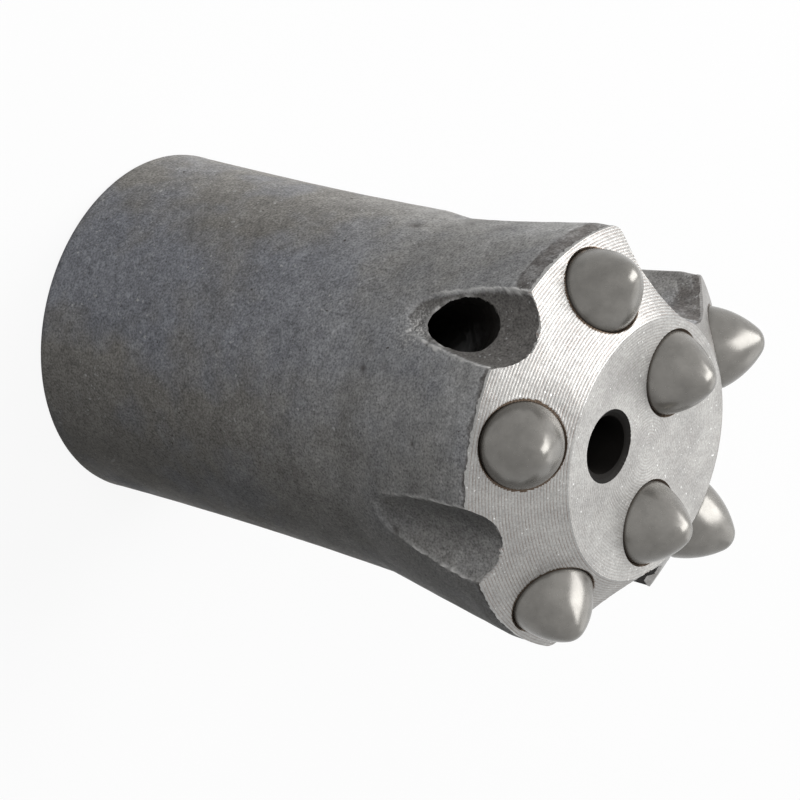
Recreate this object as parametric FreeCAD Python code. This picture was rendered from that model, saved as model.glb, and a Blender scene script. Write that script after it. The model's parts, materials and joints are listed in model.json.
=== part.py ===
import FreeCAD, Part
import math
import os

# A tapered button drill bit: one steel body and seven pressed-in carbide buttons.
# The bit stands on its skirt end, with its axis on Z and its front face at the top.
# All sizes are millimetres and degrees.

# Body, turned outside
BODY_LENGTH = 56.1
SKIRT_RADIUS = 16.0
SKIRT_EDGE_RADIUS = 0.8
WAIST_RADIUS = 15.8
WAIST_HEIGHT = 17.8
FLARE_RADIUS = 16.1
FLARE_BELOW_FACE = 20.6
HEAD_RADIUS = 18.3
HEAD_BAND = 1.8
FACE_RADIUS = 11.3
GAUGE_ANGLE = 35.0

# Tapered socket for the rod, and the water chamber at its end
SOCKET_MOUTH_RADIUS = 11.15
SOCKET_MOUTH_CHAMFER = 1.0
SOCKET_HALF_ANGLE = 3.5
CHAMBER_BELOW_FACE = 18.1
CHAMBER_ROOF_HEIGHT = 5.0

# Buttons: a chamfered shank and a dome of two tangent arcs
BUTTON_RADIUS = 3.6
SHANK_LENGTH = 6.5
SHANK_CHAMFER = 0.5
DOME_HEIGHT = 4.1
DOME_TIP_RADIUS = 1.7
DOME_FLANK_RADIUS = 8.0
SEAT_CLEARANCE = 0.0
SEAT_EDGE_BREAK = 0.15

# Where the buttons sit, by angle round the axis
GAUGE_BUTTON_ANGLES = [0.0, 64.0, 151.0, 214.5, 299.0]
FACE_BUTTON_ANGLES = [108.7, 255.5]
BUTTON_RING_GAP = 0.85

# Narrow flutes: round-nosed grooves that run out on the flare
NARROW_FLUTE_ANGLES = [30.0, 182.8, 330.0]
NARROW_FLUTE_DEPTH = 2.2
NARROW_FLUTE_RADIUS = 4.5
NARROW_FLUTE_TILT = 2.5

# Wide flutes: round-bottomed channels that just break the face edge
WIDE_FLUTE_ANGLES = [107.5, 255.6]
WIDE_FLUTE_BITE = 0.1
WIDE_FLUTE_HALF_ANGLE = 3.0
WIDE_FLUTE_NOSE_RADIUS = 7.0
WIDE_FLUTE_STRAIGHT = 12.0
WIDE_FLUTE_RUN_OUT_RADIUS = 20.0
WIDE_FLUTE_EDGE_RADIUS = 0.8

# Flushing holes: one in the face, one in a narrow flute, one in a wide flute
FLUSHING_HOLE_RADIUS = 2.5
FACE_HOLE_ANGLE = 356.6
FACE_HOLE_CIRCLE = 6.0
FACE_HOLE_TILT = 18.0
FACE_HOLE_CHAMFER = 0.65
SIDE_HOLE_TILT = 45.0
NARROW_FLUTE_HOLE_ANGLE = 330.0
NARROW_FLUTE_HOLE_BELOW_FACE = 10.8
WIDE_FLUTE_HOLE_ANGLE = 107.5
WIDE_FLUTE_HOLE_BELOW_FACE = 12.0

# How far a cutting shape runs past the surface that it cuts
OVERRUN = 6.0
# How near two numbers are when they count as equal
ROUNDING_ERROR = 1e-6

AXIS = FreeCAD.Vector(0, 0, 1)
ORIGIN = FreeCAD.Vector(0, 0, 0)

RIM_HEIGHT = BODY_LENGTH - (HEAD_RADIUS - FACE_RADIUS) * math.tan(math.radians(GAUGE_ANGLE))
SEAT_CIRCLE = (HEAD_RADIUS + FACE_RADIUS) / 2
SEAT_HEIGHT = (BODY_LENGTH + RIM_HEIGHT) / 2
FACE_BUTTON_CIRCLE = SEAT_CIRCLE - 2 * BUTTON_RADIUS - BUTTON_RING_GAP
NARROW_FLOOR_RADIUS = HEAD_RADIUS - NARROW_FLUTE_DEPTH
WIDE_FLOOR_RADIUS = FACE_RADIUS - WIDE_FLUTE_BITE


def point(radius, height):
    """A point in the XZ half-plane that the turned shapes are drawn in."""
    return FreeCAD.Vector(radius, 0, height)


def turned(corners):
    """A solid of revolution from a closed outline of straight sides."""
    outline = Part.makePolygon([point(*corner) for corner in corners + corners[:1]])
    return Part.Face(outline).revolve(ORIGIN, AXIS, 360)


def turned_about_axis(shape, angle):
    """A copy of a shape, turned round the bit's axis."""
    copy = shape.copy()
    copy.rotate(ORIGIN, AXIS, angle)
    return copy


def body_blank():
    """The forged and turned outside of the body, with its head still a plain cylinder."""
    skirt_corner = math.sqrt(0.5) * SKIRT_EDGE_RADIUS
    edge_center = point(SKIRT_RADIUS - SKIRT_EDGE_RADIUS, SKIRT_EDGE_RADIUS)
    edge_middle = edge_center + point(skirt_corner, -skirt_corner)
    edge_start = point(SKIRT_RADIUS - SKIRT_EDGE_RADIUS, 0)
    edge_end = point(SKIRT_RADIUS, SKIRT_EDGE_RADIUS)
    waist = point(WAIST_RADIUS, WAIST_HEIGHT)
    flare = point(FLARE_RADIUS, BODY_LENGTH - FLARE_BELOW_FACE)
    band = point(HEAD_RADIUS, RIM_HEIGHT - HEAD_BAND)
    head_edge = point(HEAD_RADIUS, BODY_LENGTH)
    face_center = point(0, BODY_LENGTH)
    corners = [flare, band, head_edge, face_center, ORIGIN, edge_start]
    edges = [Part.makeLine(start, end) for start, end in zip(corners, corners[1:])]
    edges.append(Part.Arc(edge_start, edge_middle, edge_end).toShape())
    edges.append(Part.Arc(edge_end, waist, flare).toShape())
    outline = Part.Wire(Part.__sortEdges__(edges))
    return Part.Face(outline).revolve(ORIGIN, AXIS, 360)


def gauge_cone():
    """What is turned off the head to leave the gauge cone round the flat face."""
    outer_radius = HEAD_RADIUS + OVERRUN
    drop = (outer_radius - FACE_RADIUS) * math.tan(math.radians(GAUGE_ANGLE))
    return turned([
        (FACE_RADIUS, BODY_LENGTH),
        (outer_radius, BODY_LENGTH - drop),
        (outer_radius, BODY_LENGTH + OVERRUN),
        (FACE_RADIUS, BODY_LENGTH + OVERRUN),
    ])


def rod_socket():
    """The tapered socket, its chamfered mouth and the cone-roofed chamber at its end."""
    apex_height = BODY_LENGTH - CHAMBER_BELOW_FACE
    roof_height = apex_height - CHAMBER_ROOF_HEIGHT
    taper = math.tan(math.radians(SOCKET_HALF_ANGLE))
    chamber_radius = SOCKET_MOUTH_RADIUS - roof_height * taper
    chamfer_radius = SOCKET_MOUTH_RADIUS - SOCKET_MOUTH_CHAMFER * taper
    return turned([
        (0, -OVERRUN),
        (SOCKET_MOUTH_RADIUS + SOCKET_MOUTH_CHAMFER + OVERRUN, -OVERRUN),
        (chamfer_radius, SOCKET_MOUTH_CHAMFER),
        (chamber_radius, roof_height),
        (0, apex_height),
    ])


def narrow_flute(angle):
    """A cylinder that leans outwards to the rear, so that the groove runs out on the flare."""
    lean = math.radians(NARROW_FLUTE_TILT)
    direction = point(-math.sin(lean), math.cos(lean))
    rim_point = point(NARROW_FLOOR_RADIUS + NARROW_FLUTE_RADIUS, RIM_HEIGHT)
    start = rim_point - direction * FLARE_BELOW_FACE
    length = FLARE_BELOW_FACE + (BODY_LENGTH - RIM_HEIGHT) + OVERRUN
    cutter = Part.makeCylinder(NARROW_FLUTE_RADIUS, length, start, direction)
    return turned_about_axis(cutter, angle)


def wide_flute_section(height):
    """The round-bottomed channel across a wide flute, open outwards along X."""
    half_angle = math.radians(WIDE_FLUTE_HALF_ANGLE)
    nose_center = WIDE_FLOOR_RADIUS + WIDE_FLUTE_NOSE_RADIUS
    tangent_x = nose_center - WIDE_FLUTE_NOSE_RADIUS * math.sin(half_angle)
    tangent_y = WIDE_FLUTE_NOSE_RADIUS * math.cos(half_angle)
    mouth_x = HEAD_RADIUS + OVERRUN
    mouth_y = tangent_y + (mouth_x - tangent_x) * math.tan(half_angle)
    bottom = FreeCAD.Vector(WIDE_FLOOR_RADIUS, 0, height)
    near_tangent = FreeCAD.Vector(tangent_x, -tangent_y, height)
    far_tangent = FreeCAD.Vector(tangent_x, tangent_y, height)
    near_mouth = FreeCAD.Vector(mouth_x, -mouth_y, height)
    far_mouth = FreeCAD.Vector(mouth_x, mouth_y, height)
    edges = [
        Part.Arc(near_tangent, bottom, far_tangent).toShape(),
        Part.makeLine(far_tangent, far_mouth),
        Part.makeLine(far_mouth, near_mouth),
        Part.makeLine(near_mouth, near_tangent),
    ]
    return Part.Face(Part.Wire(edges))


def wide_flute(angle):
    """A straight channel from the face, and the arc on which it climbs out of the body."""
    run_out_height = BODY_LENGTH - WIDE_FLUTE_STRAIGHT
    section = wide_flute_section(run_out_height)
    straight = section.extrude(AXIS * (WIDE_FLUTE_STRAIGHT + OVERRUN))
    pivot = point(WIDE_FLOOR_RADIUS + WIDE_FLUTE_RUN_OUT_RADIUS, run_out_height)
    run_out = section.revolve(pivot, FreeCAD.Vector(0, 1, 0), -80)
    return [turned_about_axis(shape, angle) for shape in (straight, run_out)]


def is_level(face):
    """Whether a face is flat and square to the bit's axis."""
    surface = face.Surface
    return isinstance(surface, Part.Plane) and abs(surface.Axis.z) > 1 - ROUNDING_ERROR


def is_turned(face):
    """Whether a face is part of the round outside, which runs about the bit's own axis."""
    surface = face.Surface
    if isinstance(surface, Part.Plane):
        return False
    off_axis = math.hypot(surface.Center.x, surface.Center.y)
    return abs(surface.Axis.z) > 1 - ROUNDING_ERROR and off_axis < ROUNDING_ERROR


def with_round_flute_edges(body):
    """The body with its edges rounded where the wide flutes come out through its side."""
    flute_edges = []
    for edge in body.Edges:
        faces = body.ancestorsOfType(edge, Part.Face)
        on_outside = any(is_turned(face) for face in faces)
        in_flute = any(not is_turned(face) and not is_level(face) for face in faces)
        if on_outside and in_flute:
            flute_edges.append(edge)
    return body.makeFillet(WIDE_FLUTE_EDGE_RADIUS, flute_edges)


def face_hole():
    """The chamfered hole from the face down to the middle of the chamber."""
    lean = math.radians(FACE_HOLE_TILT)
    inwards = point(-math.sin(lean), -math.cos(lean))
    mouth = point(FACE_HOLE_CIRCLE, BODY_LENGTH)
    length = OVERRUN + CHAMBER_BELOW_FACE / math.cos(lean) + FLUSHING_HOLE_RADIUS
    bore = Part.makeCylinder(FLUSHING_HOLE_RADIUS, length, mouth - inwards * OVERRUN, inwards)
    chamfer = Part.makeCone(
        FLUSHING_HOLE_RADIUS + FACE_HOLE_CHAMFER,
        FLUSHING_HOLE_RADIUS,
        FACE_HOLE_CHAMFER,
        mouth,
        -AXIS,
    )
    return [turned_about_axis(shape, FACE_HOLE_ANGLE) for shape in (bore, chamfer)]


def side_hole(angle, floor_radius, below_face):
    """A hole from the bit's axis, forwards and outwards through the floor of a flute."""
    lean = math.radians(SIDE_HOLE_TILT)
    outwards = point(math.sin(lean), math.cos(lean))
    reach = floor_radius / math.sin(lean)
    start = point(floor_radius, BODY_LENGTH - below_face) - outwards * reach
    bore = Part.makeCylinder(FLUSHING_HOLE_RADIUS, reach + OVERRUN, start, outwards)
    return turned_about_axis(bore, angle)


def button_profile():
    """The half-outline of a button: shank below zero height, dome of two tangent arcs above."""
    tip_center = DOME_HEIGHT - DOME_TIP_RADIUS
    centers_apart = DOME_FLANK_RADIUS - DOME_TIP_RADIUS
    # The flank circle's centre lies where its distances to the dome's edge and to the
    # tip circle's centre are both right.
    base_line = math.hypot(BUTTON_RADIUS, tip_center)
    along = (DOME_FLANK_RADIUS**2 - centers_apart**2 + base_line**2) / (2 * base_line)
    across = math.sqrt(DOME_FLANK_RADIUS**2 - along**2)
    unit_x = -BUTTON_RADIUS / base_line
    unit_z = tip_center / base_line
    flank_x = BUTTON_RADIUS + unit_x * along - unit_z * across
    flank_z = unit_z * along + unit_x * across
    start_angle = math.atan2(-flank_z, BUTTON_RADIUS - flank_x)
    end_angle = math.atan2(tip_center - flank_z, -flank_x)
    middle_angle = (start_angle + end_angle) / 2
    tip_angle = (end_angle + math.pi / 2) / 2

    def on_flank(angle):
        return point(flank_x + DOME_FLANK_RADIUS * math.cos(angle),
                     flank_z + DOME_FLANK_RADIUS * math.sin(angle))

    def on_tip(angle):
        return point(DOME_TIP_RADIUS * math.cos(angle),
                     tip_center + DOME_TIP_RADIUS * math.sin(angle))

    dome_edge = point(BUTTON_RADIUS, 0)
    dome_top = point(0, DOME_HEIGHT)
    shank_side = point(BUTTON_RADIUS, SHANK_CHAMFER - SHANK_LENGTH)
    shank_bottom = point(BUTTON_RADIUS - SHANK_CHAMFER, -SHANK_LENGTH)
    shank_center = point(0, -SHANK_LENGTH)
    edges = [
        Part.makeLine(shank_center, shank_bottom),
        Part.makeLine(shank_bottom, shank_side),
        Part.makeLine(shank_side, dome_edge),
        Part.Arc(dome_edge, on_flank(middle_angle), on_flank(end_angle)).toShape(),
        Part.Arc(on_flank(end_angle), on_tip(tip_angle), dome_top).toShape(),
        Part.makeLine(dome_top, shank_center),
    ]
    return Part.Wire(edges)


def button():
    """A button standing on the origin, with its dome edge at height zero."""
    return Part.Face(button_profile()).revolve(ORIGIN, AXIS, 360)


def button_seat():
    """The blind hole that a button is pressed into, with its broken edge."""
    radius = BUTTON_RADIUS + SEAT_CLEARANCE
    bore = Part.makeCylinder(radius, SHANK_LENGTH + OVERRUN, point(0, -SHANK_LENGTH), AXIS)
    edge_break = Part.makeCone(
        radius,
        radius + 2 * SEAT_EDGE_BREAK,
        2 * SEAT_EDGE_BREAK,
        point(0, -SEAT_EDGE_BREAK),
        AXIS,
    )
    return bore.fuse(edge_break)


def placed_on_gauge(shape, angle):
    """A shape moved from the origin to the gauge cone, square to the cone."""
    copy = shape.copy()
    copy.rotate(ORIGIN, FreeCAD.Vector(0, 1, 0), GAUGE_ANGLE)
    copy.translate(point(SEAT_CIRCLE, SEAT_HEIGHT))
    return turned_about_axis(copy, angle)


def placed_on_face(shape, angle):
    """A shape moved from the origin to the front face."""
    copy = shape.copy()
    copy.translate(point(FACE_BUTTON_CIRCLE, BODY_LENGTH))
    return turned_about_axis(copy, angle)


def bit_body():
    """The steel body with its socket, flutes, flushing holes and button seats."""
    seat = button_seat()
    body = body_blank()
    for angle in WIDE_FLUTE_ANGLES:
        body = body.cut(wide_flute(angle))
    body = with_round_flute_edges(body)
    cuts = [gauge_cone(), rod_socket()]
    cuts += [narrow_flute(angle) for angle in NARROW_FLUTE_ANGLES]
    cuts += face_hole()
    cuts.append(side_hole(NARROW_FLUTE_HOLE_ANGLE, NARROW_FLOOR_RADIUS,
                          NARROW_FLUTE_HOLE_BELOW_FACE))
    cuts.append(side_hole(WIDE_FLUTE_HOLE_ANGLE, WIDE_FLOOR_RADIUS,
                          WIDE_FLUTE_HOLE_BELOW_FACE))
    cuts += [placed_on_gauge(seat, angle) for angle in GAUGE_BUTTON_ANGLES]
    cuts += [placed_on_face(seat, angle) for angle in FACE_BUTTON_ANGLES]
    for cutter in cuts:
        body = body.cut(cutter)
    return body.Solids[0]


def main():
    parts = {"bit_body": bit_body()}
    for number, angle in enumerate(GAUGE_BUTTON_ANGLES, start=1):
        parts[f"gauge_button_{number}"] = placed_on_gauge(button(), angle)
    for number, angle in enumerate(FACE_BUTTON_ANGLES, start=1):
        parts[f"face_button_{number}"] = placed_on_face(button(), angle)
    os.makedirs("parts", exist_ok=True)
    for name, shape in parts.items():
        shape.exportStep(f"parts/{name}.step")
        print(name, "solids", len(shape.Solids), "valid", shape.isValid(),
              "volume", round(shape.Volume, 1))


main()
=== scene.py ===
import json
import bpy, bmesh
import numpy as np
from mathutils import Matrix, Vector

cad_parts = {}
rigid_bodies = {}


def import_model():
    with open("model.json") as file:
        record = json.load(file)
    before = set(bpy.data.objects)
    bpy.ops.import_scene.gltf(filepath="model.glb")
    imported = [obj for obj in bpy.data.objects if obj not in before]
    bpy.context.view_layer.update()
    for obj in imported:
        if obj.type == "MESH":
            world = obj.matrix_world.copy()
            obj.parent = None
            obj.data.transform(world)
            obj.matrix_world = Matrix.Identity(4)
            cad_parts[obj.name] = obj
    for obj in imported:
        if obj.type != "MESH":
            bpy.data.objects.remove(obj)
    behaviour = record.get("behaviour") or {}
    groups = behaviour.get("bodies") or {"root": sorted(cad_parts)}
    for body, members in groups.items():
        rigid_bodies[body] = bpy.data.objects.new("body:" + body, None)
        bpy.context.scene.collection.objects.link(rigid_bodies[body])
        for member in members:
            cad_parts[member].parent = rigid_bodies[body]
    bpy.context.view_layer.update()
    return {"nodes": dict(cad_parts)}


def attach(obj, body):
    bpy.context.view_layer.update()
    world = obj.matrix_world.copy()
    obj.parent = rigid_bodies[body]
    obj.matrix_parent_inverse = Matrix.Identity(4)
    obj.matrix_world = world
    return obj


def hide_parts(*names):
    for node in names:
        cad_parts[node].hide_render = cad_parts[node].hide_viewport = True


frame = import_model()
print("frame loaded:", len(frame["nodes"]), "nodes")

mm = 0.001
fullTurn = 2 * np.pi

# The bit's own sizes, in millimetres and degrees, the same as the solids'

blank = {
    "length": 56.1, "skirtRadius": 16.0, "skirtEdge": 0.8, "waistRadius": 15.8, "waistHeight": 17.8,
    "flareRadius": 16.1, "flareHeight": 35.5, "headRadius": 18.3, "bandHeight": 49.4,
    "faceRadius": 11.3, "coneSlope": np.tan(np.radians(35)),
}
socket = {"mouthRadius": 12.1, "chamferRadius": 11.09, "chamferHeight": 1.0, "endRadius": 9.13,
          "endHeight": 33.0, "roofHeight": 38.0}
narrowFlute = {"angles": [30.0, 182.8, 330.0], "axisRadius": 20.6, "axisHeight": 51.2,
               "noseRadius": 4.5, "tilt": 2.5, "edgeBlend": 0.08,
               "roundFrom": 41.2, "rounding": 0.088}
wideFlute = {"angles": [107.5, 255.6], "noseCentre": 18.2, "noseRadius": 7.0, "halfAngle": 3.0,
             "straightTo": 44.1, "pivotRadius": 31.2, "edgeBlend": 1.2}


# Random numbers on a cubic lattice, blended smoothly from corner to corner: -1 to 1, in cells of a given size
def latticeNoise(points, cell, seed=0):
    scaled = np.asarray(points, float) / cell + 1000.0
    corner = np.floor(scaled).astype(np.int64)
    part = scaled - corner
    part = part * part * (3 - 2 * part)
    total = np.zeros(scaled.shape[:-1])
    for step in range(8):
        offset = np.array([step & 1, step >> 1 & 1, step >> 2 & 1])
        key = ((corner + offset) * np.array([73856093, 19349663, 83492791])).sum(-1) + seed * 2654435
        key = (key ^ (key >> 13)) * 1274126177 & 0xFFFFFFFF
        key = (key ^ (key >> 16)) * 73244475 & 0xFFFFFFFF
        value = (key >> 8 & 0xFFFF) / 32767.5 - 1
        total += value * np.where(offset, part, 1 - part).prod(-1)
    return total


# Three sizes of lattice noise added up, each half as large and half as strong as the last
def cloudNoise(points, cell, seed=0):
    return sum(latticeNoise(points, cell / 2 ** k, seed + k) / 2 ** k for k in range(3)) / 1.75


# A point at a radius, an angle about Z and a height
def polar(radius, angle, height):
    radius, angle, height = np.broadcast_arrays(radius, angle, height)
    return np.stack([radius * np.cos(angle), radius * np.sin(angle), height], -1)


# 0 below the first limit, 1 above the second, an S-curve between them
def smoothStep(value, low, high):
    part = np.clip((value - low) / (high - low), 0, 1)
    return part * part * (3 - 2 * part)


# The larger of two distances, with the corner between them rounded over a given width
def roundedMax(first, second, width):
    near = np.maximum(width - np.abs(first - second), 0) / width
    return np.maximum(first, second) + near * near * width / 4


# The blank's radius at a height: a parabola through skirt, waist and flare, then a cone, then the band
def blankRadius(height):
    z0, z1, z2 = blank["skirtEdge"], blank["waistHeight"], blank["flareHeight"]
    waist = (blank["skirtRadius"] * (height - z1) * (height - z2) / ((z0 - z1) * (z0 - z2))
             + blank["waistRadius"] * (height - z0) * (height - z2) / ((z1 - z0) * (z1 - z2))
             + blank["flareRadius"] * (height - z0) * (height - z1) / ((z2 - z0) * (z2 - z1)))
    share = np.clip((height - z2) / (blank["bandHeight"] - z2), 0, 1)
    flare = blank["flareRadius"] + share * (blank["headRadius"] - blank["flareRadius"])
    return np.where(height < z2, waist, flare)


# Distance outside a narrow flute's leaning cylinder: how far a point is from its axis, less its radius.
# The axis bends outwards with the square of the drop below roundFrom, which rounds the flute's lower end
def narrowDistance(radius, angle, height, fluteAngle):
    turn = angle - np.radians(fluteAngle)
    lean = np.radians(narrowFlute["tilt"])
    bend = narrowFlute["rounding"] * np.maximum(narrowFlute["roundFrom"] - height, 0) ** 2
    axis = narrowFlute["axisRadius"] + (narrowFlute["axisHeight"] - height) * np.tan(lean) + bend
    across = radius * np.sin(turn)
    along = (radius * np.cos(turn) - axis) * np.cos(lean)
    away = np.hypot(along, across) - narrowFlute["noseRadius"]
    return np.where(np.cos(turn) > 0, away, 99.0)


# Distance outside a wide flute's round-bottomed channel,
# which swings outwards on a circle below its straight part
def wideDistance(radius, angle, height, fluteAngle):
    turn = angle - np.radians(fluteAngle)
    outwards, across = radius * np.cos(turn), np.abs(radius * np.sin(turn))
    drop = np.maximum(wideFlute["straightTo"] - height, 0)
    pivot = wideFlute["pivotRadius"]
    outwards = pivot - np.hypot(pivot - outwards, drop) - wideFlute["noseCentre"]
    half = np.radians(wideFlute["halfAngle"])
    onFlank = outwards * np.cos(half) + across * np.sin(half) > 0
    away = np.where(onFlank, across * np.cos(half) - outwards * np.sin(half), np.hypot(outwards, across))
    return np.where(np.cos(turn) > 0, away - wideFlute["noseRadius"], 99.0)


# The nearest narrow and wide flute
def fluteDistances(radius, angle, height):
    narrow = np.min([narrowDistance(radius, angle, height, a) for a in narrowFlute["angles"]], 0)
    wide = np.min([wideDistance(radius, angle, height, a) for a in wideFlute["angles"]], 0)
    return narrow, wide


# Distance along the blank's surface to the nearest narrow flute's edge, minus inside the flute:
# the flute's distance there over how fast it changes along the surface
def edgeDistance(angle, height):
    def onBlank(a, z):
        return fluteDistances(blankRadius(z), a, z)[0]

    here, stepAngle, stepUp = onBlank(angle, height), 0.002, 0.03
    aroundSlope = (onBlank(angle + stepAngle, height) - here) / (stepAngle * blankRadius(height))
    upSlope = (onBlank(angle, height + stepUp) - here) / stepUp
    return here / np.maximum(np.hypot(aroundSlope, upSlope), 0.05)


# How far a point is outside the fluted blank: the blank and the flutes' walls joined with rounded corners
def outsideDistance(radius, angle, height):
    narrow, wide = fluteDistances(radius, angle, height)
    wall = roundedMax(radius - blankRadius(height), -narrow, narrowFlute["edgeBlend"])
    return roundedMax(wall, -wide, wideFlute["edgeBlend"])


# The fluted blank's radius at each angle and height, closed in on by halving
def fluteRadius(angle, height):
    angle, height = np.broadcast_arrays(angle, height)
    low, high = np.full(angle.shape, 9.0), blankRadius(height) + 0.01
    for _ in range(22):
        middle = (low + high) / 2
        outside = outsideDistance(middle, angle, height) > 0
        low, high = np.where(outside, low, middle), np.where(outside, middle, high)
    return (low + high) / 2


# Height of the gauge cone at a radius; inside the face's edge it is the face
def coneHeight(radius):
    return blank["length"] - np.maximum(radius - blank["faceRadius"], 0) * blank["coneSlope"]


# Height at each angle where the side of the head meets the cone, closed in on by halving
def rimHeights(angle):
    low, high = np.full(angle.shape, 51.0), np.full(angle.shape, blank["length"])
    for _ in range(24):
        middle = (low + high) / 2
        coneRadius = blank["faceRadius"] + (blank["length"] - middle) / blank["coneSlope"]
        above = fluteRadius(angle, middle) > coneRadius
        low, high = np.where(above, low, middle), np.where(above, middle, high)
    return (low + high) / 2


# Quads between equal rings, given as rows of vertex numbers; each ring closes on itself
def ringQuads(rows):
    rows = np.asarray(rows)
    after = np.roll(rows, -1, axis=1)
    return np.stack([rows[:-1], after[:-1], after[1:], rows[1:]], -1).reshape(-1, 4)


# Triangles between a coarse ring and one with several times as many points
def zipTriangles(coarse, fine):
    coarse, fine = np.asarray(coarse), np.asarray(fine)
    ratio = len(fine) // len(coarse)
    owner = np.repeat(coarse, ratio)
    fan = np.stack([owner, np.roll(fine, -1), fine], -1)
    gap = np.stack([coarse, np.roll(coarse, -1), np.roll(fine, -ratio)[::ratio]], -1)
    return np.concatenate([fan, gap])


# A mesh object from a list of blocks of rings, zipped together where their counts change;
# a one-point block is a pole
def ringMesh(name, blocks, closed=False):
    points = np.concatenate([block.reshape(-1, 3) for block in blocks]) * mm
    faces, start, last = [], 0, None
    for block in blocks:
        numbers = np.arange(start, start + block.shape[0] * block.shape[1]).reshape(block.shape[:2])
        start += numbers.size
        if len(numbers) > 1:
            faces += ringQuads(numbers).tolist()
        if last is not None:
            first = numbers[0]
            small, large = (last, first) if len(last) <= len(first) else (first, last)
            if len(small) == len(large):
                faces += ringQuads([last, first]).tolist()
            elif len(small) == 1:
                faces += np.stack([np.full(len(large), small[0]), large, np.roll(large, -1)], -1).tolist()
            else:
                faces += zipTriangles(small, large).tolist()
        last = numbers[-1]
    if closed:
        faces += ringQuads([last, np.arange(len(last))]).tolist()
    mesh = bpy.data.meshes.new(name)
    mesh.from_pydata(points.tolist(), [], faces)
    work = bmesh.new()
    work.from_mesh(mesh)
    bmesh.ops.remove_doubles(work, verts=work.verts, dist=2e-7)
    bmesh.ops.dissolve_degenerate(work, edges=work.edges, dist=1e-8)
    bmesh.ops.recalc_face_normals(work, faces=work.faces)
    work.to_mesh(mesh)
    work.free()
    piece = bpy.data.objects.new(name, mesh)
    bpy.context.scene.collection.objects.link(piece)
    return piece


# A solid of revolution about Z from a list of (radius, height), moved by a function of its points
def revolved(name, outline, columns, place):
    outline = np.asarray(outline, float)
    angle = np.arange(columns) * fullTurn / columns
    blocks = []
    for radius, height in outline:
        count = 1 if radius == 0 else columns
        ring = polar(radius, angle[:count], height)[None]
        blocks.append(place(ring))
    return ringMesh(name, blocks)


# Cuts a solid out of a piece for good
def cutOut(piece, cutter):
    cut = piece.modifiers.new("cut", "BOOLEAN")
    cut.operation, cut.solver, cut.object = "DIFFERENCE", "EXACT", cutter
    graph = bpy.context.evaluated_depsgraph_get()
    mesh = bpy.data.meshes.new_from_object(piece.evaluated_get(graph))
    piece.modifiers.remove(cut)
    old, piece.data = piece.data, mesh
    bpy.data.meshes.remove(old)


# Joins several meshes into one object, which is used to cut with and then thrown away
def joined(name, pieces):
    work = bmesh.new()
    for piece in pieces:
        work.from_mesh(piece.data)
        bpy.data.objects.remove(piece)
    mesh = bpy.data.meshes.new(name)
    work.to_mesh(mesh)
    work.free()
    cutter = bpy.data.objects.new(name, mesh)
    bpy.context.scene.collection.objects.link(cutter)
    return cutter


# All of a piece's vertices, in millimetres
def vertexPoints(piece):
    flat = np.empty(len(piece.data.vertices) * 3, np.float32)
    piece.data.vertices.foreach_get("co", flat)
    return flat.reshape(-1, 3).astype(float) / mm


# Stores one number per vertex for the material to read
def storeMask(piece, name, values):
    layer = piece.data.attributes.new(name, "FLOAT", "POINT")
    layer.data.foreach_set("value", np.asarray(values, np.float32))


# Smooth shading with edges kept sharp above an angle in degrees
def shade(piece, angle):
    piece.data.shade_smooth()
    piece.data.set_sharp_from_angle(angle=np.radians(angle))


button = {
    "radius": 3.6, "shank": 6.5, "shankChamfer": 0.5, "dome": 4.1, "tipRadius": 1.7, "flankRadius": 8.0,
    "columns": 96, "gaugeAngles": [0.0, 64.0, 151.0, 214.5, 299.0], "faceAngles": [108.7, 255.5],
    "gaugeCircle": 14.8, "faceCircle": 6.75, "tilt": 35.0, "seatGap": 0.03, "edgeBreak": 0.2,
}


# Moves points from a button's own frame to the gauge cone or the face, then round the bit's axis
def buttonPlace(circle, tilt, turn):
    lean, round_ = np.radians(tilt), np.radians(turn)
    height = coneHeight(circle)

    def place(points):
        x = points[..., 0] * np.cos(lean) + points[..., 2] * np.sin(lean) + circle
        z = points[..., 2] * np.cos(lean) - points[..., 0] * np.sin(lean) + height
        y = points[..., 1]
        return np.stack([x * np.cos(round_) - y * np.sin(round_),
                         x * np.sin(round_) + y * np.cos(round_), z], -1)

    return place


# The dome's outline from its edge to its tip: a long flank arc and a short tip arc, tangent where they meet
def domeOutline():
    tipCentre = button["dome"] - button["tipRadius"]
    apart = button["flankRadius"] - button["tipRadius"]
    base = np.hypot(button["radius"], tipCentre)
    along = (button["flankRadius"] ** 2 - apart ** 2 + base ** 2) / (2 * base)
    across = np.sqrt(button["flankRadius"] ** 2 - along ** 2)
    ux, uz = -button["radius"] / base, tipCentre / base
    fx, fz = button["radius"] + ux * along - uz * across, uz * along + ux * across
    start, end = np.arctan2(-fz, button["radius"] - fx), np.arctan2(tipCentre - fz, -fx)
    flank = np.linspace(start, end, 22)
    tip = np.linspace(end, np.pi / 2, 16)[1:-1]
    reach = button["flankRadius"]
    outline = list(zip(fx + reach * np.cos(flank), fz + reach * np.sin(flank)))
    outline += zip(button["tipRadius"] * np.cos(tip), tipCentre + button["tipRadius"] * np.sin(tip))
    return outline + [(0, button["dome"])]


def buttonOutline():
    low, chamfer = -button["shank"], button["shankChamfer"]
    shank = [(0, low), (button["radius"] - chamfer, low), (button["radius"], low + chamfer)]
    shank += [(button["radius"], z) for z in (-4.0, -2.0, -0.6, -0.15)]
    return shank + domeOutline()


buttonPlaces = {}
for number, turn in enumerate(button["gaugeAngles"], start=1):
    buttonPlaces[f"gauge_button_{number}"] = buttonPlace(button["gaugeCircle"], button["tilt"], turn)
for number, turn in enumerate(button["faceAngles"], start=1):
    buttonPlaces[f"face_button_{number}"] = buttonPlace(button["faceCircle"], 0.0, turn)

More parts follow.
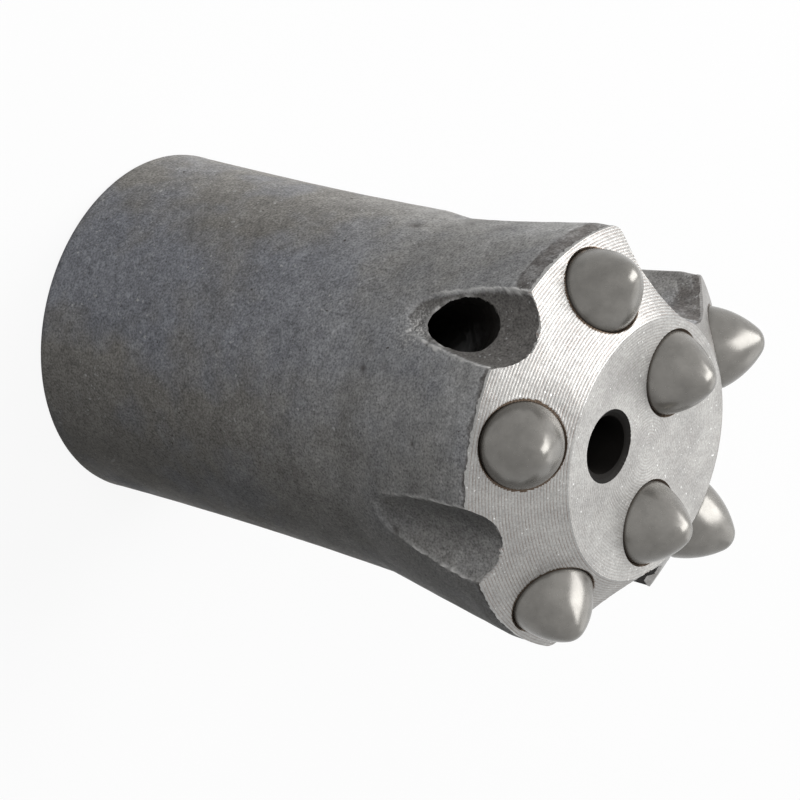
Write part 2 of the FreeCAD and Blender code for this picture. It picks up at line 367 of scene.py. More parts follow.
buttons = {}
for node, place in buttonPlaces.items():
    piece = revolved(node + "_carbide", buttonOutline(), button["columns"], place)
    shade(piece, 35)
    buttons[node] = piece
print("buttons made:", len(buttons))

hole = {"radius": 2.5, "faceCircle": 6.0, "faceAngle": 356.6, "faceTilt": 18.0, "faceLength": 20.0,
        "mouthChamfer": 0.65, "columns": 72,
        "sides": [(330.0, 16.1, 45.3), (107.5, 11.2, 44.1)], "sideStart": 4.0, "ragged": 0.09}


# A seat: the shank's size and a little more, opening in a short broken edge at the surface
def seatOutline():
    radius, edge = button["radius"] + button["seatGap"], button["edgeBreak"]
    return [(0, -button["shank"]), (radius, -button["shank"]), (radius, -edge),
            (radius + 3 * edge, 2 * edge), (radius + 3 * edge, 6.0), (0, 6.0)]


# The face hole leans in towards the bit's axis; its chamfer stands square to the face
def faceHolePlace(points):
    lean, turn = np.radians(hole["faceTilt"]), np.radians(hole["faceAngle"])
    x = points[..., 0] * np.cos(lean) + points[..., 2] * np.sin(lean) + hole["faceCircle"]
    z = points[..., 2] * np.cos(lean) - points[..., 0] * np.sin(lean) + blank["length"]
    return np.stack([x * np.cos(turn) - points[..., 1] * np.sin(turn),
                     x * np.sin(turn) + points[..., 1] * np.cos(turn), z], -1)


def faceChamferPlace(points):
    turn = np.radians(hole["faceAngle"])
    x = points[..., 0] + hole["faceCircle"]
    return np.stack([x * np.cos(turn) - points[..., 1] * np.sin(turn),
                     x * np.sin(turn) + points[..., 1] * np.cos(turn), points[..., 2] + blank["length"]], -1)


# A side hole climbs outwards at 45 degrees and comes out through its flute's floor
def sideHolePlace(turn, floorRadius, floorHeight):
    half, angle = np.sqrt(0.5), np.radians(turn)
    low = floorHeight - (floorRadius - hole["sideStart"])

    def place(points):
        x = (points[..., 0] + points[..., 2]) * half + hole["sideStart"]
        z = (points[..., 2] - points[..., 0]) * half + low
        return np.stack([x * np.cos(angle) - points[..., 1] * np.sin(angle),
                         x * np.sin(angle) + points[..., 1] * np.cos(angle), z], -1)

    return place


# A side hole's bore: straight, with a wall that wanders in and out where the drill has torn the steel
def raggedBore(side):
    angle = np.arange(hole["columns"] * 2) * fullTurn / (hole["columns"] * 2)
    reach = np.concatenate([[0.0, 4.0], np.arange(8.0, 22.1, 0.3)])[:, None]
    points = polar(hole["radius"], angle, reach)
    wander = hole["ragged"] * (latticeNoise(points, 0.9, 81) + 0.6 * latticeNoise(points, 0.35, 82))
    wall = polar(hole["radius"] + wander, angle, reach)
    place = sideHolePlace(*side)
    ends = [place(np.array([[[0.0, 0.0, z]]])) for z in (0.0, 22.1)]
    return ringMesh("side", [ends[0], place(wall), ends[1]])


def makeCutters():
    radius, chamfer = hole["radius"], hole["mouthChamfer"]
    seats = [revolved("seat", seatOutline(), 96, place) for place in buttonPlaces.values()]
    bore = [(0, -hole["faceLength"]), (radius, -hole["faceLength"]), (radius, 4), (0, 4)]
    mouth = [(0, -chamfer), (radius, -chamfer), (radius + 2 * chamfer, chamfer), (0, chamfer)]
    sides = [raggedBore(side) for side in hole["sides"]]
    return {
        "seats": joined("seats", seats),
        "bore": revolved("bore", bore, hole["columns"], faceHolePlace),
        "mouth": revolved("mouth", mouth, hole["columns"], faceChamferPlace),
        "sides": joined("sides", sides),
    }


cutters = makeCutters()

# dents: angle, height, width, depth; torn: the rough patch where the drill for the side hole broke through
forged = {"columns": 220, "ratio": 4, "skirtRows": 32, "headRows": 88, "headStart": 33.0,
          "scale": 0.045, "wave": 0.05, "capDrop": 0.15, "burr": 0.09, "burrWidth": 0.1,
          "torn": {"angle": -25.0, "height": 41.4, "across": 1.7, "along": 1.5, "depth": 0.24},
          "dents": [(-10.6, 37.3, 0.45, 0.09), (-66.8, 32.9, 0.6, 0.07), (-21.5, 43.4, 0.3, 0.2),
                    (-27.5, 41.3, 0.32, 0.2), (36.0, 41.6, 0.35, 0.12), (6.0, 44.6, 0.3, 0.06)]}


# A bell-shaped share, 1 at a place on the side and falling off over two widths in millimetres
def bellAt(angle, height, centreAngle, centreHeight, across, along):
    turn = np.mod(angle - np.radians(centreAngle) + np.pi, fullTurn) - np.pi
    return np.exp(-(turn * 16.5 / across) ** 2 - ((height - centreHeight) / along) ** 2)


# How far the forged skin lies inside the true blank: slow waves of the die, a fine scale,
# dents and the torn patch
def forgedInset(radius, angle, height):
    points = polar(radius, angle, height)
    wave = 0.5 + 0.5 * cloudNoise(points, 7.0, 3)
    scale = 0.5 + 0.5 * latticeNoise(points, 0.9, 11)
    inset = forged["wave"] * wave + forged["scale"] * scale * 0.6 + 0.01
    for turn, up, width, depth in forged["dents"]:
        inset += depth * bellAt(angle, height, turn, up, width, width)
    torn = forged["torn"]
    share = bellAt(angle, height, torn["angle"], torn["height"], torn["across"], torn["along"])
    lumps = latticeNoise(points, 0.42, 61) + 0.35 * latticeNoise(points, 0.2, 62)
    return inset + torn["depth"] * share * np.abs(lumps)


# The burr that a narrow flute's edge carries: a thin line that comes and goes, stronger on the edges towards
# the key light; as the edges' colour mask it is partly painted highlight
def burrShare(angle, height):
    points = polar(blankRadius(height), angle, height)
    ragged = edgeDistance(angle, height)
    ragged = ragged + 0.15 * latticeNoise(points, 0.5, 51) + 0.11 * latticeNoise(points, 0.22, 52)
    patchy = 0.5 + 0.6 * latticeNoise(points, 1.3, 55) + 0.5 * latticeNoise(points, 0.32, 57)
    lengthwise = smoothStep(height, 40.5, 43.5)
    upperSide = 0.55 + 0.45 * np.sign(np.sin(np.radians(narrowFlute["angles"][2]) - angle))
    line = np.exp(-((ragged - 0.05) / forged["burrWidth"]) ** 2)
    return line * np.clip(patchy + 0.35 * upperSide, 0, 1) * lengthwise


# The forged side at each angle and height: the fluted blank less the skin's inset, plus the burr
def forgedSide(angle, height):
    angle, height = np.broadcast_arrays(angle, height)
    radius = fluteRadius(angle, height)
    side = radius - forgedInset(radius, angle, height) + forged["burr"] * burrShare(angle, height)
    return np.minimum(side, blank["headRadius"] - 0.003)


def forgedBody():
    coarse = np.arange(forged["columns"]) * fullTurn / forged["columns"]
    fineCount = forged["columns"] * forged["ratio"]
    fine = np.arange(fineCount) * fullTurn / fineCount
    taper = np.linspace(0, 1, 9)
    rise = socket["endHeight"] - socket["roofHeight"]
    inside = [(socket["endRadius"] * s, socket["roofHeight"] + rise * s) for s in (0.3, 0.6, 0.85, 1.0)]
    inside += [(socket["endRadius"] + (socket["chamferRadius"] - socket["endRadius"]) * s,
                socket["endHeight"] + (socket["chamferHeight"] - socket["endHeight"]) * s) for s in taper[1:]]
    inside += [(socket["mouthRadius"], 0.0), (13.6, 0.0)]
    edge, corner = blank["skirtEdge"], np.linspace(-np.pi / 2, 0, 7)
    inside += zip(blank["skirtRadius"] - edge - 0.03 + edge * np.cos(corner), edge + edge * np.sin(corner))
    inner = np.stack([polar(r, coarse, z) for r, z in inside])
    skirtHeights = np.linspace(edge + 0.4, forged["headStart"] - 0.4, forged["skirtRows"])[:, None]
    skirt = polar(forgedSide(coarse, skirtHeights), coarse, skirtHeights)
    share = np.linspace(0, 1, forged["headRows"])[:, None]
    top = rimHeights(fine) - forged["capDrop"]
    headHeights = forged["headStart"] + (top - forged["headStart"]) * share
    head = polar(forgedSide(fine, headHeights), fine, headHeights)
    rim = np.hypot(head[-1, :, 0], head[-1, :, 1])
    cap = polar(rim - 0.6, fine, coneHeight(rim - 0.6) - 0.3)[None]
    hub = polar(9.0, coarse, blank["length"] - 0.3)[None]
    poleLow = np.array([[[0, 0, socket["roofHeight"]]]])
    poleTop = np.array([[[0, 0, blank["length"] - 0.3]]])
    blocks = [poleLow, np.concatenate([inner, skirt]), np.concatenate([head, cap]), hub, poleTop]
    return ringMesh("forged_body", blocks)


body = forgedBody()
print("forged body:", len(body.data.polygons), "faces")

turned = {"coneColumns": 760, "faceColumns": 480, "pitch": 0.225, "depth": 0.036, "steps": 4,
          "facePitch": 0.26, "faceDepth": 0.022, "skin": 0.35, "burr": 0.17, "burrInside": 17.9,
          "bandTop": 50.45, "bandDrop": 1.55, "lip": 0.035}


# Height of the tool marks at a radius: a scallop that repeats with the feed,
# its depth wandering round the part
def toolMarks(radius, angle, pitch, depth, seed):
    place = polar(radius, angle, np.zeros_like(radius))
    strength = 0.75 + 0.35 * cloudNoise(place, 2.2, seed)
    phase = radius / pitch * np.pi
    return -depth * strength * (1 - np.abs(np.sin(phase))) + 0.2 * depth * latticeNoise(place, 0.35, seed + 5)


# Distance of points from the axis of the nearest button
def buttonDistance(points):
    nearest = np.full(points.shape[:-1], 99.0)
    for place in buttonPlaces.values():
        foot, top = place(np.array([0.0, 0, 0])), place(np.array([0.0, 0, 1]))
        nearest = np.minimum(nearest, np.linalg.norm(np.cross(points - foot, top - foot), axis=-1))
    return nearest


# The lip that pressing a button in has raised round its seat: a low rounded ring
def seatLip(points):
    away = buttonDistance(points) - (button["radius"] + button["edgeBreak"] + 0.12)
    return turned["lip"] * np.exp(-(away / 0.1) ** 2) * (0.6 + 0.4 * latticeNoise(points, 0.8, 71))


# A ring of skin that closes on itself: cone marks on top, a ragged wall down the side, and a hidden underside
def turnedCone():
    angle = np.arange(turned["coneColumns"]) * fullTurn / turned["coneColumns"]
    rimZ = rimHeights(angle)
    rimR = fluteRadius(angle, rimZ)
    ragged = turned["burr"] * (0.25 + 0.75 * np.abs(latticeNoise(polar(rimR, angle, rimZ), 0.4, 21)))
    outer = np.minimum(rimR + ragged * (rimR < turned["burrInside"]), blank["headRadius"] - 0.002)
    count = int(round((blank["headRadius"] - blank["faceRadius"]) / turned["pitch"] * turned["steps"]))
    radii = np.linspace(blank["faceRadius"], blank["headRadius"], count)[:, None]
    radius = np.minimum(radii, np.maximum(outer, 0))
    height = coneHeight(radius) + toolMarks(radius, angle, turned["pitch"], turned["depth"], 31)
    height = height + seatLip(polar(radius, angle, coneHeight(radius)))
    inFlute = outer < blank["faceRadius"]
    height = np.where(inFlute, np.minimum(height, blank["length"] - 0.05), height)
    topSkin = polar(radius, angle, height)
    wallZ = rimZ - turned["skin"] * (0.6 + 0.9 * np.abs(latticeNoise(polar(rimR, angle, rimZ), 0.45, 27)))
    wallR = np.minimum(fluteRadius(angle, wallZ) + 0.01, blank["headRadius"] - 0.004)
    midZ = rimZ - 0.12 - 0.1 * np.abs(latticeNoise(polar(rimR, angle, rimZ), 0.4, 25))
    midR = fluteRadius(angle, midZ) + 0.015 + 0.5 * ragged * (rimR < turned["burrInside"])
    midR = np.minimum(midR, blank["headRadius"] - 0.002)
    inner = np.minimum(blank["faceRadius"] - 0.06, outer - 0.35)
    low = polar(np.minimum(wallR, outer) - 0.5, angle, np.minimum(coneHeight(wallR), wallZ) - 0.2)
    under = polar(inner, angle, blank["length"] - 0.9)
    lip = polar(inner, angle, blank["length"] - 0.05)
    rings = np.concatenate([topSkin, polar(midR, angle, midZ)[None], polar(wallR, angle, wallZ)[None],
                            low[None], under[None], lip[None]])
    return ringMesh("turned_cone", [rings], closed=True)


# A disc of skin: face marks on top, a wall round its edge, and a hidden flat underside
def turnedFace():
    angle = np.arange(turned["faceColumns"]) * fullTurn / turned["faceColumns"]
    edge = np.minimum(blank["faceRadius"], fluteRadius(angle, np.full(angle.shape, blank["length"])))
    count = int(round(blank["faceRadius"] / turned["facePitch"] * turned["steps"]))
    radii = np.linspace(0, blank["faceRadius"], count + 1)[1:, None]
    radius = np.minimum(radii, edge)
    height = blank["length"] + toolMarks(radius, angle, turned["facePitch"], turned["faceDepth"], 41)
    height = np.minimum(height, blank["length"])
    wall = polar(edge - 0.01, angle, blank["length"] - 0.3)[None]
    pole = np.array([[[0, 0, blank["length"] - 0.01]]])
    base = np.array([[[0, 0, blank["length"] - 0.3]]])
    return ringMesh("turned_face", [pole, np.concatenate([polar(radius, angle, height), wall]), base])


cone = turnedCone()
face = turnedFace()
print("turned skins:", len(cone.data.polygons), len(face.data.polygons), "faces")

cuts = {body: ("seats", "bore", "mouth", "sides"), cone: ("seats",), face: ("seats", "bore", "mouth")}
for piece, names in cuts.items():
    for name in names:
        cutOut(piece, cutters[name])
for cutter in cutters.values():
    bpy.data.objects.remove(cutter)
print("seats and holes cut:", [len(piece.data.polygons) for piece in (body, cone, face)])


# Distance of points from a straight line through two points
def lineDistance(points, foot, top):
    along = (top - foot) / np.linalg.norm(top - foot)
    return np.linalg.norm(np.cross(points - foot, along), axis=-1)


# A flushing hole's axis as two points in the bit: the face hole's, or a side hole's
def holeAxis(side=None):
    place = sideHolePlace(*side) if side else faceHolePlace
    return place(np.array([[0.0, 0, -1], [0.0, 0, 0]]))


# Points as distances from the axis, angles and heights
def fromAxis(points):
    return np.hypot(points[:, 0], points[:, 1]), np.arctan2(points[:, 1], points[:, 0]), points[:, 2]


# Marks each face that lies inside the fluted blank: the walls of the seats, of the flushing holes and of the
# chamber. The materials colour the walls of the holes and of the chamber near-black as painted shade
def maskHoles(piece):
    flat = np.empty(len(piece.data.polygons) * 3, np.float32)
    piece.data.polygons.foreach_get("center", flat)
    middle = flat.reshape(-1, 3).astype(float) / mm
    radius, angle, height = fromAxis(middle)
    inside = (outsideDistance(radius, angle, height) < -0.04) & (height < coneHeight(radius) - 0.03)
    inSeat = buttonDistance(middle) < button["radius"] + button["seatGap"] + button["edgeBreak"] - 0.004
    inSeat &= (height > blank["bandHeight"] - 6.0) & (height < coneHeight(radius) + 0.1)
    above = height > socket["endHeight"]
    paintedShadeInBore = inside & above & (radius < socket["endRadius"] + 0.02)
    for side in (None, *hole["sides"]):
        foot, top = holeAxis(side)
        slack = 1.7 * hole["ragged"] if side else 0.004
        deep = inside & (outsideDistance(radius, angle, height) < (-0.14 if side else -0.04))
        paintedShadeInBore |= deep & above & (lineDistance(middle, foot, top) < hole["radius"] + slack)
    for name, values in (("inSeat", inSeat), ("paintedShadeInBore", paintedShadeInBore & ~inSeat)):
        layer = piece.data.attributes.new(name, "FLOAT", "FACE")
        layer.data.foreach_set("value", values.astype(np.float32))


# Height at which the dark turned band starts: lower on the side where the lathe cut deeper
def bandEdge(angle):
    turn = np.degrees(np.mod(angle + np.pi, fullTurn) - np.pi)
    deeper = smoothStep(turn, -105, -85) * (1 - smoothStep(turn, -48, -32)) + smoothStep(turn, 120, 140)
    return turned["bandTop"] - turned["bandDrop"] * deeper


# Marks the body's vertices: worn edges with a painted highlight, flute floors, and the torn patch
def maskBody(piece):
    points = vertexPoints(piece)
    radius, angle, height = fromAxis(points)
    narrow, wide = fluteDistances(radius, angle, height)
    outer = radius > 12.5
    storeMask(piece, "edgeWearAndHighlight", np.clip(burrShare(angle, height) * 1.3, 0, 1) * outer)
    deep = smoothStep(blankRadius(height) - radius, 0.16, 0.3) * outer
    depth = np.where(angle > 0, 0.35, 1.0)  # the flute floors at positive angles are darkened less
    storeMask(piece, "inFlute", deep * np.where(narrow < wide, depth, 0.3))
    torn = forged["torn"]
    share = bellAt(angle, height, torn["angle"], torn["height"], torn["across"], torn["along"])
    away = lineDistance(points, *holeAxis(hole["sides"][0])) - hole["radius"]
    lower = smoothStep(hole["sides"][0][2] + 0.6 - height, 0, 1.2)
    lip = np.exp(-((away - 0.08) / 0.13) ** 2) * lower * (0.75 + 0.5 * latticeNoise(points, 0.5, 63))
    storeMask(piece, "torn", share * outer)
    storeMask(piece, "lip", np.clip(lip, 0, 1) * (radius > 14.0))
    dent = sum(bellAt(angle, height, turn, up, width * 0.8, width * 0.8)
               for turn, up, width, _ in forged["dents"])
    storeMask(piece, "dent", np.clip(dent, 0, 1) * outer)
    aboveEdge = height - bandEdge(angle) - 0.25 * latticeNoise(points, 0.8, 91)
    away = edgeDistance(angle, height)
    storeMask(piece, "band", smoothStep(aboveEdge, 0, 0.25) * outer * (1 - smoothStep(-away, 0, 0.1)))
    storeMask(piece, "crease", np.exp(-(aboveEdge / 0.14) ** 2) * outer * (away > 0))


maskBody(body)
for piece in (body, cone, face):
    maskHoles(piece)
shade(body, 32)
shade(cone, 40)
shade(face, 40)


# Adds a node with settings, and numbers or links for its inputs
def node(tree, kind, inputs=(), **settings):
    made = tree.nodes.new("ShaderNode" + kind)
    for key, value in settings.items():
        setattr(made, key, value)
    for key, value in dict(inputs).items():
        if isinstance(value, bpy.types.NodeSocket):
            tree.links.new(value, made.inputs[key])
        else:
            made.inputs[key].default_value = value
    return made


def newMaterial(name):
    material = bpy.data.materials.new(name)
    material.use_nodes = True
    material.node_tree.nodes.clear()
    return material, material.node_tree


# Noise in Object coordinates with its size given in millimetres
def grain(tree, size, detail=3.0, rough=0.55, seed=0.0, **more):
    place = node(tree, "TexCoord").outputs["Object"]
    return node(tree, "TexNoise", {"Vector": place, "Scale": 1 / (size * mm), "Detail": detail,
                                   "Roughness": rough, "W": seed, **more}, noise_dimensions="4D").outputs[0]


# Maps a value from one range to another, held at the ends
def ramp(tree, value, low, high, start=0.0, end=1.0):
    return node(tree, "MapRange", {"Value": value, "From Min": low, "From Max": high,
                                   "To Min": start, "To Max": end}, clamp=True).outputs[0]


def calc(tree, kind, first, second=0.0, third=0.0):
    return node(tree, "Math", {0: first, 1: second, 2: third}, operation=kind).outputs[0]


# Mixes two colours or sockets
def mixed(tree, share, first, second, kind="MIX"):
    made = tree.nodes.new("ShaderNodeMix")
    made.data_type, made.blend_type = "RGBA", kind
    for number, value in ((0, share), (6, first), (7, second)):
        if isinstance(value, bpy.types.NodeSocket):
            tree.links.new(value, made.inputs[number])
        else:
            made.inputs[number].default_value = value if number == 0 else (*value, 1)
    return made.outputs[2]


def finishMaterial(tree, color, roughness, normal, **constants):
    inputs = {"Base Color": color, "Roughness": roughness, "Normal": normal, **constants}
    shader = node(tree, "BsdfPrincipled", inputs)
    out = node(tree, "OutputMaterial")
    tree.links.new(shader.outputs[0], out.inputs[0])
    return shader


def attributeMask(tree, name):
    return node(tree, "Attribute", attribute_name=name).outputs["Fac"]


# One number as a grey colour
def gray(tree, value):
    return node(tree, "CombineColor", {0: value, 1: value, 2: value}).outputs[0]


def times(tree, first, second):
    return calc(tree, "MULTIPLY", first, second)


forgedLook = {
    "cool": (0.27, 0.278, 0.305), "warm": (0.262, 0.252, 0.236), "pale": (0.46, 0.458, 0.455),
    # worn: near-white for worn edges, also used as their painted highlight
    "speck": (0.62, 0.62, 0.62), "pit": (0.06, 0.05, 0.045), "worn": (0.8, 0.79, 0.77),
    "flute": (0.145, 0.137, 0.128), "band": (0.14, 0.128, 0.12), "rust": (0.2, 0.07, 0.035),
    # bore: near-black, painted shade inside the flushing holes and the chamber
    # seat: dark brown, partly dirt and partly painted shade of the gap round each button
    "bore": (0.012, 0.011, 0.01), "seat": (0.085, 0.062, 0.045),
}


def forgedSteel():
    look = forgedLook
    material, tree = newMaterial("forgedSteel")
    place = node(tree, "SeparateXYZ", {0: node(tree, "TexCoord").outputs["Object"]}).outputs
    height = place["Z"]
    aside = calc(tree, "ABSOLUTE", calc(tree, "ADD", place["Y"], 0.005))
    # painted reflection: a cool blue stripe along the side of the body, where the plane y = -5 mm cuts it
    blueReflectionStripe = ramp(tree, aside, 0.002, 0.009, 1.0, 0.0)
    clouds = ramp(tree, grain(tree, 8.0, 3.0, 0.6, 1.0), 0.36, 0.62, -0.5, 0.5)
    color = mixed(tree, calc(tree, "ADD", blueReflectionStripe, clouds), look["warm"], look["cool"])
    towardsHead = ramp(tree, height, 0.020, 0.046, 0.0, 1.0)
    patchy = ramp(tree, grain(tree, 5.0, 4.0, 0.65, 2.0), 0.35, 0.65, 0.35, 0.85)
    color = mixed(tree, times(tree, towardsHead, patchy), color, look["pale"])
    color = mixed(tree, times(tree, attributeMask(tree, "inFlute"), 0.9), color, look["flute"])
    color = mixed(tree, times(tree, attributeMask(tree, "torn"), 0.7), color, look["pale"])
    worn = ramp(tree, grain(tree, 1.4, 3.0, 0.6, 6.0), 0.3, 0.55, 0.3, 1.0)
    band = times(tree, attributeMask(tree, "band"), worn)
    color = mixed(tree, times(tree, band, 0.85), color, look["band"])
    crease = ramp(tree, grain(tree, 1.6, 3.0, 0.7, 10.0), 0.42, 0.6, 0.0, 0.6)
    color = mixed(tree, times(tree, attributeMask(tree, "crease"), crease), color, look["speck"])
    fine = grain(tree, 0.2, 2.0, 0.6, 3.0)
    coarse = grain(tree, 0.9, 2.0, 0.5, 9.0)
    middle = grain(tree, 2.6, 3.0, 0.6, 18.0)
    shadeFine = times(tree, ramp(tree, fine, 0.28, 0.72, 0.5, 1.52), ramp(tree, coarse, 0.3, 0.7, 0.85, 1.15))
    shadeFine = times(tree, shadeFine, ramp(tree, middle, 0.32, 0.68, 0.86, 1.14))
    color = mixed(tree, 1.0, color, gray(tree, shadeFine), "MULTIPLY")
    specks = ramp(tree, grain(tree, 0.3, 1.0, 0.5, 4.0), 0.66, 0.74)
    patch = ramp(tree, grain(tree, 4.0, 2.0, 0.5, 5.0), 0.4, 0.6, 0.15, 0.75)
    color = mixed(tree, times(tree, specks, patch), color, look["speck"])
    pits = ramp(tree, grain(tree, 0.55, 1.0, 0.5, 8.0), 0.75, 0.79)
    tornPits = times(tree, attributeMask(tree, "torn"), ramp(tree, coarse, 0.6, 0.68))
    pits = calc(tree, "MAXIMUM", pits, tornPits)
    pits = calc(tree, "MAXIMUM", pits, times(tree, attributeMask(tree, "dent"), ramp(tree, fine, 0.35, 0.5)))
    color = mixed(tree, times(tree, pits, 0.8), color, look["pit"])
    wearAndHighlight = attributeMask(tree, "edgeWearAndHighlight")
    glint = times(tree, attributeMask(tree, "torn"), ramp(tree, fine, 0.52, 0.62))
    wearAndHighlight = calc(tree, "MAXIMUM", wearAndHighlight, times(tree, glint, 0.8))
    wearAndHighlight = calc(tree, "MAXIMUM", wearAndHighlight, times(tree, attributeMask(tree, "lip"), ramp(tree, coarse, 0.35, 0.6)))
    # near-white on the flute edges, the torn patch and the side hole's lip: partly wear, partly painted
    # highlight on the edges towards the key light
    color = mixed(tree, wearAndHighlight, color, look["worn"])
    # the seats' broken edge is coloured dark brown: partly dirt, partly painted shade of the gap round each
    # button
    color = mixed(tree, attributeMask(tree, "inSeat"), color, look["seat"])
    # painted shade: the walls of the holes and of the chamber are coloured near-black
    color = mixed(tree, attributeMask(tree, "paintedShadeInBore"), color, look["bore"])
    rough = ramp(tree, grain(tree, 3.0, 3.0, 0.6, 7.0), 0.3, 0.7, 0.5, 0.64)
    rough = calc(tree, "SUBTRACT", rough, times(tree, wearAndHighlight, 0.15))
    relief = calc(tree, "SUBTRACT", times(tree, fine, 0.5), pits)
    bump = node(tree, "Bump", {"Strength": 0.5, "Distance": 0.00006, "Height": relief}).outputs[0]
    finishMaterial(tree, color, rough, bump, **{"Specular IOR Level": 0.07})
    return material


turnedLook = {"clean": (0.385, 0.381, 0.368), "dull": (0.31, 0.306, 0.297), "fleck": (0.7, 0.7, 0.69),
              "valley": (0.15, 0.1, 0.08), "rust": (0.2, 0.06, 0.035)}


# Bright cut steel with its grooves darkened: the dark lines follow the distance from the axis
# at the tool's pitch
def turnedSteel(name, pitch, valleys, roughness):
    look = turnedLook
    material, tree = newMaterial(name)
    place = node(tree, "SeparateXYZ", {0: node(tree, "TexCoord").outputs["Object"]}).outputs
    square = calc(tree, "ADD", calc(tree, "POWER", place["X"], 2.0), calc(tree, "POWER", place["Y"], 2.0))
    phase = times(tree, calc(tree, "SQRT", square), np.pi / (pitch * mm))
    groove = ramp(tree, calc(tree, "ABSOLUTE", calc(tree, "SINE", phase)), 0.62, 0.1)
    patch = ramp(tree, grain(tree, 3.5, 4.0, 0.6, 11.0), 0.38, 0.62)
    color = mixed(tree, patch, look["clean"], look["dull"])
    grit = ramp(tree, grain(tree, 0.16, 2.0, 0.6, 12.0), 0.3, 0.7, 0.78, 1.2)
    color = mixed(tree, 1.0, color, gray(tree, grit), "MULTIPLY")
    uneven = ramp(tree, grain(tree, 0.7, 3.0, 0.65, 17.0), 0.35, 0.65, 0.25, 1.0)
    color = mixed(tree, times(tree, times(tree, groove, uneven), valleys), color, look["valley"])
    flecks = ramp(tree, grain(tree, 0.2, 0.0, 0.5, 13.0), 0.77, 0.83)
    color = mixed(tree, flecks, color, look["fleck"])
    rust = ramp(tree, grain(tree, 1.1, 2.0, 0.5, 14.0), 0.76, 0.79)
    color = mixed(tree, rust, color, look["rust"])
    # the seats' broken edge is coloured dark brown: partly dirt, partly painted shade of the gap round each
    # button
    color = mixed(tree, attributeMask(tree, "inSeat"), color, forgedLook["seat"])
    # painted shade: the walls of the holes are coloured near-black
    color = mixed(tree, attributeMask(tree, "paintedShadeInBore"), color, forgedLook["bore"])
    rough = ramp(tree, grain(tree, 0.6, 3.0, 0.6, 15.0), 0.3, 0.7, roughness, roughness + 0.14)
    relief = grain(tree, 0.12, 2.0, 0.6, 16.0)
    bump = node(tree, "Bump", {"Strength": 0.35, "Distance": 0.00003, "Height": relief}).outputs[0]
    finishMaterial(tree, color, rough, bump, Metallic=0.85)
    return material


carbideLook = {"base": (0.225, 0.216, 0.2), "dark": (0.175, 0.168, 0.155)}


def sinteredCarbide():
    material, tree = newMaterial("sinteredCarbide")
    patch = ramp(tree, grain(tree, 1.6, 3.0, 0.6, 21.0), 0.35, 0.65)
    color = mixed(tree, patch, carbideLook["base"], carbideLook["dark"])
    rough = ramp(tree, grain(tree, 0.5, 3.0, 0.6, 22.0), 0.3, 0.7, 0.25, 0.28)
    relief = grain(tree, 0.2, 2.0, 0.6, 23.0)
    bump = node(tree, "Bump", {"Strength": 0.03, "Distance": 0.000005, "Height": relief}).outputs[0]
    finishMaterial(tree, color, rough, bump, Metallic=0.6)
    return material


def paint(piece, material):
    piece.data.materials.clear()
    piece.data.materials.append(material)


paint(body, forgedSteel())
paint(cone, turnedSteel("turnedConeSteel", turned["pitch"], 0.75, 0.32))
paint(face, turnedSteel("turnedFaceSteel", turned["facePitch"], 0.4, 0.44))
carbide = sinteredCarbide()
for piece in buttons.values():
    paint(piece, carbide)
print("materials made")

for piece in (body, cone, face):
    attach(piece, "root")
    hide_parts("bit_body")
for buttonNode, piece in buttons.items():
    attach(piece, "root")
    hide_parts(buttonNode)

stage = {"floorSize": 3.0, "floorTone": 0.05, "floorGlow": 0.92, "worldFill": 0.045}


# 1 for rays from the camera and rays that glossy or clear things send on, 0 for those that only light things
def seenDirectly(tree):
    rays = node(tree, "LightPath").outputs
    seen = calc(tree, "MAXIMUM", rays["Is Camera Ray"], rays["Is Glossy Ray"])
    return calc(tree, "MAXIMUM", seen, rays["Is Transmission Ray"])


def paleFloor():
    half = stage["floorSize"] / 2
    mesh = bpy.data.meshes.new("floor")
    corners = [(-half, -half, 0), (half, -half, 0), (half, half, 0), (-half, half, 0)]
    mesh.from_pydata(corners, [], [(0, 1, 2, 3)])
    floor = bpy.data.objects.new("floor", mesh)
    bpy.context.scene.collection.objects.link(floor)
    material, tree = newMaterial("paleFloor")
    tone = stage["floorTone"]
    plain = node(tree, "BsdfDiffuse", {"Color": (tone, tone, tone, 1)}).outputs[0]
    strength = times(tree, seenDirectly(tree), stage["floorGlow"])
    glow = node(tree, "Emission", {"Color": (1, 1, 1, 1), "Strength": strength}).outputs[0]
    both = node(tree, "AddShader", {0: plain, 1: glow}).outputs[0]
    tree.links.new(both, node(tree, "OutputMaterial").inputs[0])
    paint(floor, material)


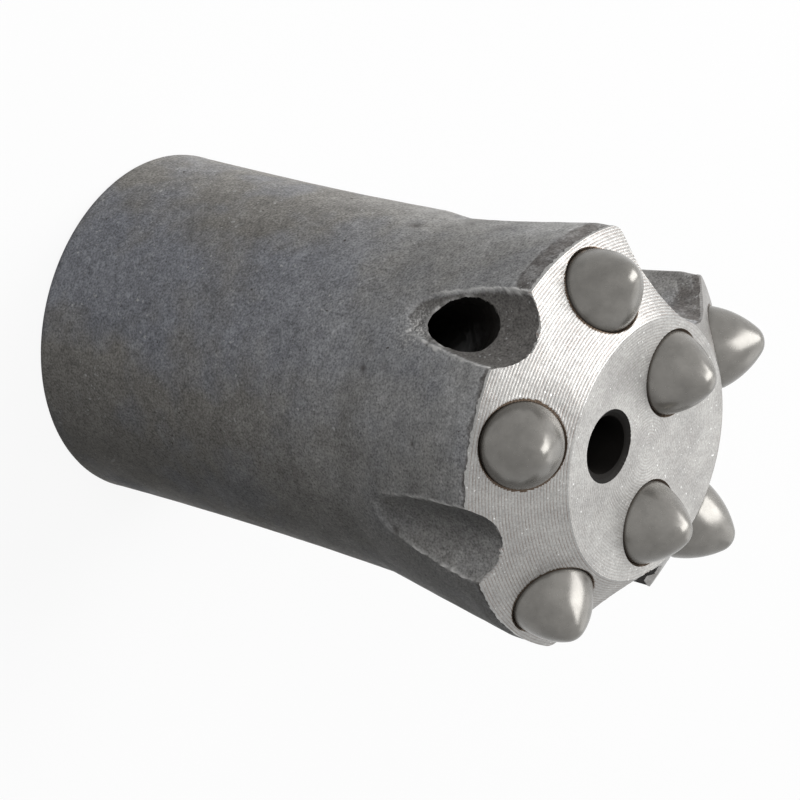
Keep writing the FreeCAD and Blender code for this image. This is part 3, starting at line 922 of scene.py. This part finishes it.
def paleWorld():
    world = bpy.data.worlds.new("studio")
    bpy.context.scene.world = world
    world.use_nodes = True
    tree = world.node_tree
    tree.nodes.clear()
    strength = ramp(tree, seenDirectly(tree), 0, 1, stage["worldFill"], 1.0)
    back = node(tree, "Background", {"Color": (1, 1, 1, 1), "Strength": strength}).outputs[0]
    tree.links.new(back, node(tree, "OutputWorld").inputs[0])


# Soft boxes: the direction they stand in, distance, long and short side, the way the long side runs, power,
# and whether polished steel shows them
softBoxes = {
    "keyBox": ((-0.33, -0.45, 0.83), 0.60, 0.60, 0.34, (-0.79, -0.45, -0.42), 3.7, True),
    "sideBox": ((0.66, -0.42, 0.6), 0.70, 0.50, 0.50, (1, 0, 0), 2.6, False),
    "rimBox": ((-0.8, -0.6, 0.2), 0.60, 0.35, 0.35, (1, 0, 0), 3.4, False),
    "backBox": ((-0.79, 0.13, 0.59), 0.60, 0.40, 0.40, (0, 1, 0), 0.45, True),
}


# A flat lamp that faces the middle of the bit, turned so that its long side runs a given way
def softBox(name, direction, distance, long, short, way, power, shows):
    lamp = bpy.data.lights.new(name, "AREA")
    lamp.shape, lamp.size, lamp.size_y, lamp.energy = "RECTANGLE", long, short, power
    back = Vector(direction).normalized()
    side = (Vector(way) - back * Vector(way).dot(back)).normalized()
    turn = Matrix((side, back.cross(side), back)).transposed().to_4x4()
    box = bpy.data.objects.new(name, lamp)
    box.visible_glossy = shows
    box.matrix_world = Matrix.Translation(back * distance + Vector((0, 0, 0.045))) @ turn
    bpy.context.scene.collection.objects.link(box)


paleFloor()
paleWorld()
for name, settings in softBoxes.items():
    softBox(name, *settings)

view = {"place": (0.2154, -0.0337, 0.1907), "aim": (0.0, 0.00137, 0.0297), "roll": 104.93, "lens": 137.35}


def makeCamera():
    lens = bpy.data.cameras.new("camera")
    lens.lens, lens.sensor_width, lens.clip_start = view["lens"], 36.0, 0.01
    camera = bpy.data.objects.new("camera", lens)
    look = Vector(view["aim"]) - Vector(view["place"])
    turn = look.to_track_quat("-Z", "Y").to_matrix() @ Matrix.Rotation(np.radians(view["roll"]), 3, "Z")
    camera.matrix_world = Matrix.Translation(view["place"]) @ turn.to_4x4()
    bpy.context.scene.collection.objects.link(camera)
    bpy.context.scene.camera = camera


makeCamera()
bpy.context.scene.view_settings.view_transform = "Standard"
